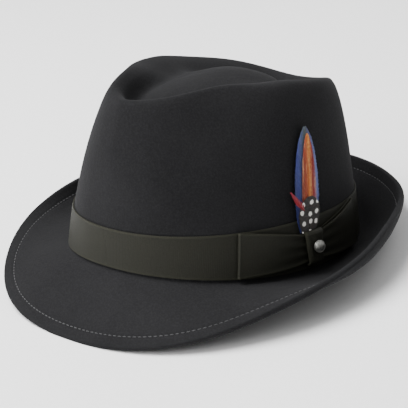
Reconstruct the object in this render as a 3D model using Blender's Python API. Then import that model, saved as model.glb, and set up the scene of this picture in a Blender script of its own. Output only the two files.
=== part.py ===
"""Black felt trilby: snap brim, teardrop crown, ribbon band with a flat bow, feather mount and pin.

Sizes are in millimetres and angles in degrees. The hat is shaped in its own frame: the middle of the
head opening is the origin, the front faces -Y and the wearer's left is +X. An angle round the hat is
counted from the front towards the wearer's left. The hat is then set down as it rests by itself, on
the front edge of its brim and on the fold at the back of the head opening.
"""
import math
from collections import namedtuple

import bmesh
import bpy
import numpy as np
from mathutils import Matrix

MM = 0.001

# Head opening, measured outside the felt where the crown meets the brim
HEAD_LENGTH = 204.0
HEAD_WIDTH = 167.4
HEAD_SQUARENESS = 2.15  # exponent of the oval, where 2 is an ellipse
HEAD_DIP = 3.2  # the line drops this much at the sides and rises as much at front and back

# Felt
FELT = 2.0
WELT_WIDTH = 8.0  # the edge of the brim is turned under and stitched over this width
WELT_FELT = 1.8  # the turned-under layer
WELT_STEP = 0.8
EDGE_ROUNDING = 0.7  # how far the rounded edge stands out, as a share of half its thickness
FOLD_RISE = 1.6  # the fold between crown and brim starts this far up the crown
FOLD_REACH = 3.0  # and ends this far out on the brim

# Crown
CROWN_HEIGHT = 113.0
TIP_FRONT = 99.3  # the ridge's oval, from the middle of the hat
TIP_BACK = 85.2
TIP_WIDTH = 120.4
TIP_SQUARENESS = 2.24
TIP_SHIFT = 3.9  # the ridge sits this far behind the head opening
WALL_BULGE = 1.9
RIDGE_ROUNDING = 3.9
SHOULDER_FROM = 0.8  # share of the rise where the wall starts to round over
PINCH_DEPTH = 16.7
PINCH_ANGLE = 32.3
PINCH_SPREAD = 28.6
PINCH_RISE = 2.3  # power with which the pinch fades down the wall
CREASE_REACH = 25.0  # from the ridge to the bottom of the crease
CREASE_DEPTH = 18.0
DOME_HEIGHT = 109.5
SOFTNESS = 0.5  # how far the softest ring moves towards the middle of its neighbours

CrownRow = namedtuple("CrownRow", "angle ridge reach depth soft")
# Ridge height, crease reach and crease depth as shares of the crown's height, reach and depth, and
# how softly the felt rolls over the ridge
CROWN = (
    CrownRow(0, 0.99, 0.61, 1.03, 0.93),
    CrownRow(30, 1.005, 0.7, 0.72, 0.3),
    CrownRow(60, 1.018, 0.93, 0.63, 0.55),
    CrownRow(90, 1.004, 0.95, 0.56, 0.6),
    CrownRow(120, 0.959, 0.92, 0.54, 0.55),
    CrownRow(150, 0.897, 1.02, 0.5, 0.45),
    CrownRow(180, 0.834, 1.08, 0.55, 0.5),
)
SOFT_RINGS = (4, 5, 6, 7, 6)  # rings that roll softly, from the shoulder over the ridge
WALL_SHARES = (0.0, 0.25, 0.5, 0.7, 0.86, 0.95, 1.0)
CreaseRow = namedtuple("CreaseRow", "reach depth")
CREASE_WALL = (CreaseRow(0.42, 0.35), CreaseRow(1.0, 1.0))
DOME_SHARES = (0.72, 0.42, 0.15)

# Brim
BRIM_WIDTH = 45.0

BrimRow = namedtuple("BrimRow", "angle width leaving ending roll")
# Width as a share of the brim's width, slope where it leaves the crown and at its edge, and how late
# along the width it rolls from one to the other
BRIM = (
    BrimRow(0, 1.1, -34, -48, 1.0),
    BrimRow(30, 1.06, -15, -38, 0.7),
    BrimRow(60, 0.915, -1, 10, 1.0),
    BrimRow(90, 1.0, -10, 82, 1.3),
    BrimRow(120, 0.9, 5, 88, 1.1),
    BrimRow(150, 0.87, 7, 88, 1.5),
    BrimRow(180, 0.94, 13, 82, 1.8),
)

# How far the felt is pressed flat where the hat rests on the floor
REST_PRESS = 0.9

# Ribbon
RIBBON = 0.9
GAP = 0.3
BAND_SEAT = 2.2  # lower edge of the band above the head line
BAND_TOP = 29.7  # height of the band's level upper edge
BOW_SEAT = 3.2
BOW_HEIGHT = 15.4  # of the knot's middle above the head line
BOW_MIDDLE = 84.0  # angle of the knot's middle
BOW_SPLIT = 0.7
LOOP_TURN = 35.2  # how far each loop reaches round the crown
LOOP_AIR = 1.0  # space between the two layers of a loop
LOOP_PUFF = 1.0
LOOP_NARROW = 7.5  # half the height to which the knot gathers a loop
KNOT_WIDTH = 16.5
KNOT_FOOT = 0.74  # width of its foot as a share of its width at the top
KNOT_HEIGHT = 18.7
KNOT_RIBBON = 1.2
KNOT_BULGE = 1.6

# Pin
PIN_RADIUS = 3.9
PIN_RIM = 1.0
PIN_DOME = 1.5
PIN_ANGLE = 83.6
PIN_HEIGHT = 16.2
PIN_TILT = 18.0

# Feathers
FEATHER = 0.7
FEATHER_GAP = 0.35
FEATHER_REST = 0.35  # clearance of the rearmost feather from the band
FEATHER_LENGTH = 62.7
FEATHER_WIDTH = 20.0
FEATHER_FOOT = 0.4  # the feathers start this far above the knot
FEATHER_ANGLE = 82.0
FEATHER_LEAN = 5.5  # how far the tip lies behind the foot
FEATHER_TURN = 2.4  # how much further the rear edge stands off the crown than the front edge

FeatherRow = namedtuple("FeatherRow", "name layer length width shift foot lean outline")
OutlineRow = namedtuple("OutlineRow", "along half")
BLADE = (
    OutlineRow(0.0, 0.6), OutlineRow(0.12, 0.86), OutlineRow(0.35, 1.0), OutlineRow(0.55, 0.96),
    OutlineRow(0.75, 0.78), OutlineRow(0.88, 0.54), OutlineRow(0.96, 0.28), OutlineRow(1.0, 0.08),
)
ROUND = (
    OutlineRow(0.0, 0.66), OutlineRow(0.2, 0.88), OutlineRow(0.5, 1.0), OutlineRow(0.75, 0.84),
    OutlineRow(0.92, 0.5), OutlineRow(1.0, 0.2),
)
WISP = (
    OutlineRow(0.0, 0.7), OutlineRow(0.3, 1.0), OutlineRow(0.6, 0.8), OutlineRow(0.85, 0.4),
    OutlineRow(1.0, 0.12),
)
# Length as a share of FEATHER_LENGTH, width, shift and foot as shares of FEATHER_WIDTH, and lean as
# the share of its own length by which the tip lies behind its foot
FEATHERS = (
    FeatherRow("feather_blue", 0, 1.0, 1.0, 0.0, 0.0, 0.0, BLADE),
    FeatherRow("feather_orange", 1, 0.93, 0.58, 0.03, 0.0, 0.0, BLADE),
    FeatherRow("feather_guinea", 2, 0.34, 0.92, 0.0, 0.0, 0.0, ROUND),
    FeatherRow("feather_red", 3, 0.19, 0.25, -0.3, 0.7, -0.8, WISP),
)

# Fineness of the faceted solids
SECTORS = 56
STEPS_PER_RING = 2
FOLD_STEPS = 3
EDGE_STEPS = 4
BRIM_SHARES = (0.14, 0.28, 0.42, 0.56, 0.68)
BRIM_EDGE_SHARES = (0.5, 1.0)
BRIM_INTEGRATION = 48

FELT_COLOUR = (0.017, 0.017, 0.018)
RIBBON_COLOUR = (0.013, 0.013, 0.011)
PIN_COLOUR = (0.36, 0.36, 0.34)
FEATHER_COLOURS = {
    "feather_blue": (0.045, 0.08, 0.24),
    "feather_orange": (0.42, 0.09, 0.02),
    "feather_guinea": (0.03, 0.02, 0.018),
    "feather_red": (0.4, 0.01, 0.03),
}


def around(rows, column, theta):
    """Value of a table's column at angles round the hat, the same on both sides and smooth."""
    values = np.array([getattr(row, column) for row in rows], float)
    last = len(values) - 1
    weights = np.ones(last + 1)
    weights[[0, -1]] = 0.5
    order = np.arange(last + 1)
    terms = 2 / last * np.cos(np.outer(order, order) * math.pi / last) @ (weights * values)
    terms[[0, -1]] *= 0.5
    return np.cos(np.multiply.outer(theta, order)) @ terms


def oval(theta, front, side, squareness):
    """Radius of an oval that reaches front along Y and side along X."""
    across, along = np.abs(np.sin(theta)), np.abs(np.cos(theta))
    return ((across / side) ** squareness + (along / front) ** squareness) ** (-1 / squareness)


def polar(theta, radius, height, shift=0.0):
    """Points round the hat at a radius and height, with their middle shifted towards the back."""
    theta, radius, height, shift = np.broadcast_arrays(theta, radius, height, shift)
    return np.stack([radius * np.sin(theta), shift - radius * np.cos(theta), height], axis=-1)


def head_line(theta):
    return HEAD_DIP * np.cos(2 * theta)


def head_oval(theta):
    return oval(theta, HEAD_LENGTH / 2, HEAD_WIDTH / 2, HEAD_SQUARENESS)


def tip_oval(theta):
    reach = np.where(np.cos(theta) > 0, TIP_FRONT, TIP_BACK)
    return oval(theta, reach, TIP_WIDTH / 2, TIP_SQUARENESS)


def ridge_height(theta):
    return CROWN_HEIGHT * around(CROWN, "ridge", theta)


def pinch(theta):
    """How far the two front pinches push the ridge in."""
    off_front = np.abs((np.degrees(theta) + 180) % 360 - 180)
    return PINCH_DEPTH * np.exp(-(((off_front - PINCH_ANGLE) / PINCH_SPREAD) ** 2))


def wall_ring(theta, share):
    """Points of the crown's side, at a share of the way up from the head line to the ridge."""
    shoulder = np.clip((share - SHOULDER_FROM) / (1 - SHOULDER_FROM), 0, 1)
    radius = head_oval(theta) * (1 - share) + tip_oval(theta) * share
    radius = radius + WALL_BULGE * 4 * share * (1 - share)
    radius = radius - pinch(theta) * np.abs(share) ** PINCH_RISE
    radius = radius - RIDGE_ROUNDING * shoulder**2
    height = head_line(theta) * (1 - share) + ridge_height(theta) * share
    return polar(theta, radius, height, TIP_SHIFT * share)


def crease_rings(theta):
    """Rings from the ridge down the inside of the crease and over the dome, towards the middle."""
    ridge = tip_oval(theta) - pinch(theta) - RIDGE_ROUNDING
    height = ridge_height(theta)
    reach = CREASE_REACH * around(CROWN, "reach", theta)
    depth = CREASE_DEPTH * around(CROWN, "depth", theta)
    rings = [
        polar(theta, ridge - reach * row.reach, height - depth * row.depth, TIP_SHIFT)
        for row in CREASE_WALL
    ]
    foot = ridge - reach
    fall = DOME_HEIGHT - (height - depth)
    for share in DOME_SHARES:
        # The dome evens out towards its middle
        even = fall.mean() + (fall - fall.mean()) * share**2
        rings.append(polar(theta, foot * share, DOME_HEIGHT - even * share**2, TIP_SHIFT))
    rings.append(polar(theta, 0 * theta, 0 * theta + DOME_HEIGHT, TIP_SHIFT))
    return rings


def crown_rings(theta):
    """Rings from the head line up the crown, over the ridge and the crease to the dome's middle."""
    rings = [wall_ring(theta, share) for share in WALL_SHARES] + crease_rings(theta)
    soft = around(CROWN, "soft", theta)[:, None]
    for index in SOFT_RINGS:
        middle = (rings[index - 1] + rings[index + 1]) / 2
        rings[index] = rings[index] + soft * SOFTNESS * (middle - rings[index])
    return smooth_rings(rings, STEPS_PER_RING)


def smooth_rings(rings, steps):
    """Rings on a Catmull-Rom curve through the given ones, with a few steps between each two."""
    ends = [2 * rings[0] - rings[1]], [2 * rings[-1] - rings[-2]]
    points = [*ends[0], *rings, *ends[1]]
    smooth = []
    for before, here, there, after in zip(points, points[1:], points[2:], points[3:]):
        for step in range(steps):
            t = step / steps
            smooth.append(
                here
                + 0.5 * (there - before) * t
                + 0.5 * (2 * before - 5 * here + 4 * there - after) * t**2
                + 0.5 * (3 * here - before - 3 * there + after) * t**3
            )
    return smooth + [rings[-1]]


def brim_ring(theta, out):
    """Points of the brim's upper face, at distances out from the crown along the felt."""
    width = BRIM_WIDTH * around(BRIM, "width", theta)
    leaving = np.radians(around(BRIM, "leaving", theta))
    ending = np.radians(around(BRIM, "ending", theta))
    roll = around(BRIM, "roll", theta)
    middles = (np.arange(BRIM_INTEGRATION) + 0.5)[:, None] / BRIM_INTEGRATION
    slope = leaving + (ending - leaving) * (middles * out / width) ** roll
    run = np.mean(np.cos(slope), axis=0) * out
    rise = np.mean(np.sin(slope), axis=0) * out
    return polar(theta, head_oval(theta) + run, head_line(theta) + rise)


def fold_rings(theta):
    """Rings round the fold from the crown's side to the brim, without its two ends."""
    corner = wall_ring(theta, 0.0)
    start = wall_ring(theta, FOLD_RISE / (ridge_height(theta) - head_line(theta)))
    end = brim_ring(theta, FOLD_REACH)
    shares = np.arange(FOLD_STEPS + 1) / FOLD_STEPS
    return [(1 - t) ** 2 * start + 2 * t * (1 - t) * corner + t**2 * end for t in shares]


def felt_rings(theta):
    """The felt's outer face from the dome's middle to the brim's edge, with the felt under each ring."""
    rings = crown_rings(theta)[:0:-1] + fold_rings(theta)
    thickness = [FELT] * len(rings)
    width = BRIM_WIDTH * around(BRIM, "width", theta)
    welt = width - WELT_WIDTH
    rings += [brim_ring(theta, width * share) for share in BRIM_SHARES]
    rings += [brim_ring(theta, welt - WELT_STEP), brim_ring(theta, welt)]
    thickness += [FELT] * (len(BRIM_SHARES) + 1) + [FELT + WELT_FELT]
    for share in BRIM_EDGE_SHARES:
        rings.append(brim_ring(theta, welt + WELT_WIDTH * share))
        thickness.append(FELT + WELT_FELT)
    return np.array(rings), np.array(thickness)


def unit(vectors):
    return vectors / np.linalg.norm(vectors, axis=-1, keepdims=True)


def ring_normals(rings):
    """Outward normals of rings that run from the middle of the dome to the edge of the brim."""
    along = np.roll(rings, -1, axis=1) - np.roll(rings, 1, axis=1)
    outward = np.gradient(rings, axis=0)
    normals = np.cross(outward, along)
    normals[0] = (0, 0, 1)
    return unit(normals)


def edge_rings(upper, lower, outward):
    """Rings round the rounded edge of the brim, between its upper and its lower face."""
    middle, half = (upper + lower) / 2, (upper - lower) / 2
    proud = outward * np.linalg.norm(half, axis=-1, keepdims=True) * EDGE_ROUNDING
    turns = np.linspace(math.pi / 2, -math.pi / 2, EDGE_STEPS + 1)[1:-1]
    return [middle + half * math.sin(turn) + proud * math.cos(turn) for turn in turns]


def felt_surface():
    """All rings of the felt, down its outer face, round the edge and back up its inner face."""
    theta = np.arange(SECTORS) * 2 * math.pi / SECTORS
    outer, thickness = felt_rings(theta)
    inner = outer - ring_normals(outer) * thickness[:, None, None]
    outward = unit(outer[-1] - outer[-2])
    edge = edge_rings(outer[-1], inner[-1], outward)
    return np.concatenate([outer, edge, inner[::-1]])


def resting_place(points):
    """Pitch and lift with which the front edge and the rear fold press on the floor alike."""
    def heights(pitch):
        return points[..., 2] * math.cos(pitch) - points[..., 1] * math.sin(pitch)

    front = points[..., 1] < 0
    low, high = 0.0, math.radians(20)
    for _ in range(40):
        pitch = (low + high) / 2
        z = heights(pitch)
        if z[front].min() < z[~front].min():
            low = pitch
        else:
            high = pitch
    return pitch, -heights(pitch).min() - REST_PRESS


def on_wall(theta, height, standoff):
    """Points beside the crown, at a height above the head line and a distance off the felt."""
    def side(theta, height):
        return wall_ring(theta, height / (ridge_height(theta) - head_line(theta)))

    theta, height, standoff = (np.array(v) for v in np.broadcast_arrays(theta, height, standoff))
    step = 1e-3
    along = side(theta + step, height) - side(theta - step, height)
    up = side(theta, height + step) - side(theta, height - step)
    return side(theta, height) + unit(np.cross(along, up)) * standoff[..., None]


def band_rise(theta):
    """Height of the band's upper edge above the head line."""
    return BAND_TOP - head_line(theta)


def turn_of(distance, theta, height=0.0):
    """Angle that a distance round the crown takes at an angle and height."""
    foot = wall_ring(theta, height / (ridge_height(theta) - head_line(theta)))
    return distance / np.hypot(foot[..., 0], foot[..., 1])


def new_object(name, vertices, faces, colour, roughness, metallic=0.0):
    """An object from millimetre points, its faces turned outwards, with its own material."""
    mesh = bpy.data.meshes.new(name)
    mesh.from_pydata([tuple(v * MM for v in vertex) for vertex in vertices], [], faces)
    bm = bmesh.new()
    bm.from_mesh(mesh)
    bmesh.ops.recalc_face_normals(bm, faces=bm.faces)
    if bm.calc_volume(signed=True) < 0:
        bmesh.ops.reverse_faces(bm, faces=bm.faces)
    bm.to_mesh(mesh)
    bm.free()
    mesh.shade_smooth()
    mesh.set_sharp_from_angle(angle=math.radians(50))
    material = bpy.data.materials.new(name)
    material.use_nodes = True
    shader = material.node_tree.nodes["Principled BSDF"]
    shader.inputs["Base Color"].default_value = (*colour, 1)
    shader.inputs["Roughness"].default_value = roughness
    shader.inputs["Metallic"].default_value = metallic
    mesh.materials.append(material)
    thing = bpy.data.objects.new(name, mesh)
    bpy.context.collection.objects.link(thing)
    return thing


def ring_faces(rows, columns, closed_rows=False):
    """Quads between neighbouring rings, each closed round the hat."""
    faces = []
    for row in range(rows if closed_rows else rows - 1):
        after = (row + 1) % rows
        for column in range(columns):
            beside = (column + 1) % columns
            faces.append((row * columns + column, row * columns + beside,
                          after * columns + beside, after * columns + column))
    return faces


def make_felt_body(surface):
    """Crown and brim, closed at the dome's middle on both faces."""
    rings = surface[1:-1]
    rows, columns = rings.shape[:2]
    top, bottom = rows * columns, rows * columns + 1
    faces = ring_faces(rows, columns)
    last = (rows - 1) * columns
    for column in range(columns):
        beside = (column + 1) % columns
        faces.append((top, beside, column))
        faces.append((bottom, last + column, last + beside))
    vertices = [*rings.reshape(-1, 3), surface[0].mean(axis=0), surface[-1].mean(axis=0)]
    return new_object("felt_body", vertices, faces, FELT_COLOUR, 0.95)


def make_band():
    """Ribbon round the foot of the crown, 0.3 mm clear of the felt."""
    theta = np.arange(SECTORS) * 2 * math.pi / SECTORS
    top = band_rise(theta)
    section = []
    for standoff, shares in ((GAP, (0, 0.5, 1)), (GAP + RIBBON, (1, 0.5, 0))):
        for share in shares:
            section.append(on_wall(theta, BAND_SEAT + (top - BAND_SEAT) * share, standoff))
    rows = np.array(section)
    faces = ring_faces(len(rows), SECTORS, closed_rows=True)
    return new_object("hat_band", rows.reshape(-1, 3), faces, RIBBON_COLOUR, 0.5)


def make_slab(name, front, back, colour, roughness):
    """A closed sheet between two grids of points."""
    rows, columns = front.shape[:2]
    count = rows * columns

    def at(row, column, side):
        return side * count + row * columns + column

    faces = []
    for row in range(rows - 1):
        for column in range(columns - 1):
            corners = ((row, column), (row, column + 1), (row + 1, column + 1), (row + 1, column))
            faces.append([at(*corner, 0) for corner in corners])
            faces.append([at(*corner, 1) for corner in reversed(corners)])
    rim = [(0, column) for column in range(columns)]
    rim += [(row, columns - 1) for row in range(1, rows)]
    rim += [(rows - 1, column) for column in range(columns - 2, -1, -1)]
    rim += [(row, 0) for row in range(rows - 2, 0, -1)]
    for here, there in zip(rim, rim[1:] + rim[:1]):
        faces.append([at(*here, 0), at(*there, 0), at(*there, 1), at(*here, 1)])
    vertices = [*front.reshape(-1, 3), *back.reshape(-1, 3)]
    return new_object(name, vertices, faces, colour, roughness)


def loop_layers():
    """Distances off the crown of the middles of a loop's inner and outer layers."""
    inner = GAP + RIBBON + GAP + RIBBON / 2
    return inner, inner + RIBBON + LOOP_AIR


def loop_puff(share):
    """How far a loop's outer layer swells, at a share of the way from the knot to the fold."""
    return LOOP_PUFF * np.sin(math.pi * share) ** 2


def make_loop(name, direction):
    """A ribbon loop: out from the knot against the band, folded over, and back on the outside."""
    inner, outer = loop_layers()
    start = math.radians(BOW_MIDDLE) + direction * turn_of(BOW_SPLIT, math.radians(BOW_MIDDLE))
    turn = math.radians(LOOP_TURN)
    bend = (outer - inner) / 2
    path = []
    for share in np.linspace(0, 1, 7):
        path.append((share * turn, inner, share))
    fold = turn_of(1.0, start + direction * turn)
    for angle in np.radians((45, 90, 135)):
        path.append((turn + bend * math.sin(angle) * fold, inner + bend * (1 - math.cos(angle)), 1))
    for share in np.linspace(1, 0, 7):
        path.append((share * turn, outer + loop_puff(share), share))
    path = np.array(path)
    flat = np.stack([path[:, 0] / fold, path[:, 1]], axis=-1)
    tangent = unit(np.gradient(flat, axis=0))
    aside = np.stack([-tangent[:, 1], tangent[:, 0]], axis=-1) * RIBBON / 2
    levels = np.linspace(0, 1, 5)
    grids = []
    for side in (1, -1):
        place = flat + aside * side
        theta = (start + direction * place[:, 0] * fold)[:, None]
        gathered = (1 - path[:, 2])[:, None]
        low = BOW_SEAT + (BOW_HEIGHT - LOOP_NARROW - BOW_SEAT) * gathered
        high = band_rise(theta) + (BOW_HEIGHT + LOOP_NARROW - band_rise(theta)) * gathered
        grids.append(on_wall(theta, low + (high - low) * levels, place[:, 1][:, None]))
    return make_slab(name, grids[0], grids[1], RIBBON_COLOUR, 0.5)


def knot_turn():
    """Half the angle that the knot takes round the crown."""
    return turn_of(KNOT_WIDTH / 2, math.radians(BOW_MIDDLE))


def knot_standoff(share):
    """Distance of the knot's inner face off the crown, from its front edge at -1 to its rear at 1."""
    under = loop_layers()[1] + RIBBON / 2 + loop_puff(knot_turn() / math.radians(LOOP_TURN))
    return under + GAP + KNOT_BULGE * (1 - share**2)


def make_knot():
    """The short ribbon wrapped over the middle of the bow."""
    shares = np.linspace(-1, 1, 7)[:, None]
    levels = np.linspace(0, 1, 5)
    theta = math.radians(BOW_MIDDLE) + shares * knot_turn() * (KNOT_FOOT + (1 - KNOT_FOOT) * levels)
    height = BOW_HEIGHT + KNOT_HEIGHT * (levels - 0.5)
    back = on_wall(theta, height, knot_standoff(shares))
    front = on_wall(theta, height, knot_standoff(shares) + KNOT_RIBBON)
    return make_slab("bow_knot", front, back, RIBBON_COLOUR, 0.5)


def make_pin():
    """A low domed button, turned about the line on which it stands off the knot."""
    rise = PIN_DOME
    sphere = (PIN_RADIUS**2 + rise**2) / (2 * rise)
    reach = np.linspace(1, 0, 5)[:-1] * PIN_RADIUS
    profile = [(0, 0), (PIN_RADIUS, 0)]
    profile += [(r, PIN_RIM + math.sqrt(sphere**2 - r**2) - sphere + rise) for r in reach]
    profile.append((0, PIN_RIM + rise))
    bm = bmesh.new()
    outline = [bm.verts.new((r * MM, 0, z * MM)) for r, z in profile]
    edges = [bm.edges.new(pair) for pair in zip(outline, outline[1:])]
    bmesh.ops.spin(bm, geom=outline + edges, cent=(0, 0, 0), axis=(0, 0, 1), dvec=(0, 0, 0),
                   angle=2 * math.pi, steps=20, use_merge=True)
    bmesh.ops.remove_doubles(bm, verts=bm.verts, dist=1e-5)
    vertices = [tuple(c / MM for c in vertex.co) for vertex in bm.verts]
    bm.verts.index_update()
    faces = [[vertex.index for vertex in face.verts] for face in bm.faces]
    bm.free()
    pin = new_object("pin", vertices, faces, PIN_COLOUR, 0.35, 1.0)

    theta = math.radians(PIN_ANGLE)
    share = (theta - math.radians(BOW_MIDDLE)) / knot_turn()
    lift = PIN_RADIUS * math.sin(math.radians(PIN_TILT))
    standoff = knot_standoff(max(0.0, abs(share) - PIN_RADIUS / (KNOT_WIDTH / 2))) + KNOT_RIBBON + GAP + lift
    foot, tip = on_wall(theta, PIN_HEIGHT, np.array([standoff, standoff + 1]))
    outward = tip - foot
    heading = math.atan2(outward[1], outward[0]) - math.radians(PIN_TILT)
    slope = math.acos(outward[2])
    turn = Matrix.Rotation(heading, 4, "Z") @ Matrix.Rotation(slope, 4, "Y")
    pin.matrix_local = Matrix.Translation([c * MM for c in foot]) @ turn
    return pin


def make_feather(row):
    """A flat feather that stands along the crown, its rear edge turned away from the felt."""
    length = FEATHER_LENGTH * row.length
    along = np.array([point.along for point in row.outline])[:, None]
    half = np.array([point.half for point in row.outline])[:, None] * FEATHER_WIDTH * row.width / 2
    root = math.radians(FEATHER_ANGLE)
    rise = FEATHER_FOOT + FEATHER_WIDTH * row.foot + length * along
    middle = FEATHER_WIDTH * row.shift + FEATHER_LEAN * rise / FEATHER_LENGTH + row.lean * length * along
    across = middle + half * np.linspace(-1, 1, 5)
    height = BOW_HEIGHT + KNOT_HEIGHT / 2 + rise
    theta = root + turn_of(across, root, height)
    height = height + 0 * across
    turned = FEATHER_TURN * np.clip(0.5 + across / FEATHER_WIDTH, 0, 1) * np.clip(rise / FEATHER_WIDTH, 0, 1)
    standoff = GAP + RIBBON + FEATHER_REST + row.layer * (FEATHER + FEATHER_GAP) + turned
    back = on_wall(theta, height, standoff)
    front = on_wall(theta, height, standoff + FEATHER)
    return make_slab(row.name, front, back, FEATHER_COLOURS[row.name], 0.6)


def main():
    for old in list(bpy.data.objects):
        bpy.data.objects.remove(old, do_unlink=True)
    surface = felt_surface()
    pitch, lift = resting_place(surface)
    stance = bpy.data.objects.new("hat_stance", None)
    bpy.context.collection.objects.link(stance)
    cos, sin = math.cos(pitch), math.sin(pitch)
    depth = surface[..., 1] * cos + surface[..., 2] * sin
    middle = (depth.min() + depth.max()) / 2
    stance.matrix_world = Matrix.Translation((0, -middle * MM, lift * MM)) @ Matrix.Rotation(-pitch, 4, "X")

    # Below the floor the felt is pressed flat
    height = surface[..., 2] * cos - surface[..., 1] * sin + lift
    pressed = np.clip(-height, 0, None)[..., None]
    surface = surface + pressed * np.array([0, -sin, cos])

    pieces = [make_felt_body(surface), make_band()]
    pieces += [make_loop("bow_front_loop", -1), make_loop("bow_rear_loop", 1), make_knot(), make_pin()]
    pieces += [make_feather(row) for row in FEATHERS]
    for piece in pieces:
        piece.parent = stance


main()
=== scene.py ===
"""Black felt trilby with a ribbon band, a flat bow, a feather mount and a small pin.

Sizes are in millimetres and angles in degrees. The hat is shaped in its own frame: the middle of the
head opening is the origin, the front faces -Y and the wearer's left is +X. An angle round the hat is
counted from the front towards the wearer's left. The hat is then set down as it rests by itself.
"""
import math
from collections import namedtuple

import bmesh
import bpy
import numpy as np
from mathutils import Matrix, Vector, noise


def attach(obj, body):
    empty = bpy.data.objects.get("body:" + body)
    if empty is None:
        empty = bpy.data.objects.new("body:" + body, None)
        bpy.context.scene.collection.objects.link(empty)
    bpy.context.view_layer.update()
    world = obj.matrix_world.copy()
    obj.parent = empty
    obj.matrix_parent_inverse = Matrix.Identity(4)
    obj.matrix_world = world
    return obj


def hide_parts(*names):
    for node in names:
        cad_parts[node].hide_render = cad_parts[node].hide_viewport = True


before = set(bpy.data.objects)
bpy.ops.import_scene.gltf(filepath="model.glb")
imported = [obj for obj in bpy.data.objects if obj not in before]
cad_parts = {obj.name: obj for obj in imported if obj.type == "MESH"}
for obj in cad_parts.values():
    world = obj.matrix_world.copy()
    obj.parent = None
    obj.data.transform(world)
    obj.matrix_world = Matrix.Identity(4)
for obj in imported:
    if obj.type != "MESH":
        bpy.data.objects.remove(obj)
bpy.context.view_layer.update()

MM = 0.001

# Head opening, measured outside the felt where the crown meets the brim
HEAD_LENGTH = 204.0
HEAD_WIDTH = 167.4
HEAD_SQUARENESS = 2.15  # exponent of the oval, where 2 is an ellipse
HEAD_DIP = 3.2  # the line drops this much at the sides and rises as much at front and back

# Felt
FELT = 2.0
WELT_WIDTH = 8.0  # the edge of the brim is turned under and stitched over this width
WELT_FELT = 1.8  # the turned-under layer
WELT_STEP = 0.8
EDGE_ROUNDING = 0.7  # how far the rounded edge stands out, as a share of half its thickness
FOLD_RISE = 1.6  # the fold between crown and brim starts this far up the crown
FOLD_REACH = 3.0  # and ends this far out on the brim

# Crown
CROWN_HEIGHT = 113.0
TIP_FRONT = 99.3  # the ridge's oval, from the middle of the hat
TIP_BACK = 85.2
TIP_WIDTH = 120.4
TIP_SQUARENESS = 2.24
TIP_SHIFT = 3.9  # the ridge sits this far behind the head opening
WALL_BULGE = 1.9
RIDGE_ROUNDING = 3.9
SHOULDER_FROM = 0.8  # share of the rise where the wall starts to round over
PINCH_DEPTH = 16.7
PINCH_ANGLE = 32.3
PINCH_SPREAD = 28.6
PINCH_RISE = 2.3  # power with which the pinch fades down the wall
CREASE_REACH = 25.0  # from the ridge to the bottom of the crease
CREASE_DEPTH = 18.0
DOME_HEIGHT = 109.5
SOFTNESS = 0.5  # how far the softest ring moves towards the middle of its neighbours

CrownRow = namedtuple("CrownRow", "angle ridge reach depth soft")
# Ridge height, crease reach and crease depth as shares of the crown's height, reach and depth, and
# how softly the felt rolls over the ridge
CROWN = (
    CrownRow(0, 0.99, 0.61, 1.03, 0.93),
    CrownRow(30, 1.005, 0.7, 0.72, 0.3),
    CrownRow(60, 1.018, 0.93, 0.63, 0.55),
    CrownRow(90, 1.004, 0.95, 0.56, 0.6),
    CrownRow(120, 0.959, 0.92, 0.54, 0.55),
    CrownRow(150, 0.897, 1.02, 0.5, 0.45),
    CrownRow(180, 0.834, 1.08, 0.55, 0.5),
)
SOFT_RINGS = (4, 5, 6, 7, 6)  # rings that roll softly, from the shoulder over the ridge
WALL_SHARES = (0.0, 0.25, 0.5, 0.7, 0.86, 0.95, 1.0)
CreaseRow = namedtuple("CreaseRow", "reach depth")
CREASE_WALL = (CreaseRow(0.42, 0.35), CreaseRow(1.0, 1.0))
DOME_SHARES = (0.72, 0.42, 0.15)

# Brim
BRIM_WIDTH = 45.0

BrimRow = namedtuple("BrimRow", "angle width leaving ending roll")
# Width as a share of the brim's width, slope where it leaves the crown and at its edge, and how late
# along the width it rolls from one to the other
BRIM = (
    BrimRow(0, 1.1, -34, -48, 1.0),
    BrimRow(30, 1.06, -15, -38, 0.7),
    BrimRow(60, 0.915, -1, 10, 1.0),
    BrimRow(90, 1.0, -10, 82, 1.3),
    BrimRow(120, 0.9, 5, 88, 1.1),
    BrimRow(150, 0.87, 7, 88, 1.5),
    BrimRow(180, 0.94, 13, 82, 1.8),
)

# How far the felt is pressed flat where the hat rests on the floor
REST_PRESS = 0.9

# Stitches that hold the turned-under edge
STITCH_INSET = 6.7  # from the edge of the brim
STITCH_PITCH = 3.3
STITCH_LENGTH = 2.3
STITCH_RADIUS = 0.3
STITCH_DIP = 0.4  # how far the thread pulls the felt in
STITCH_SPREAD = 1.3  # half the width of the groove that the thread pulls
STITCH_SHOWN = 0.4  # share of the thread's radius that stands above the felt
STITCH_PROBE = 0.5  # distance at which the felt's slope is taken beside the stitches
STITCH_INPUTS = {"Pitch": STITCH_PITCH, "Length": STITCH_LENGTH, "Radius": STITCH_RADIUS}

# How far the blocked felt wanders from its true form, and over what distance
DRIFT = 0.45
DRIFT_REACH = 34.0
DRIFT_SEED = 7

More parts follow.
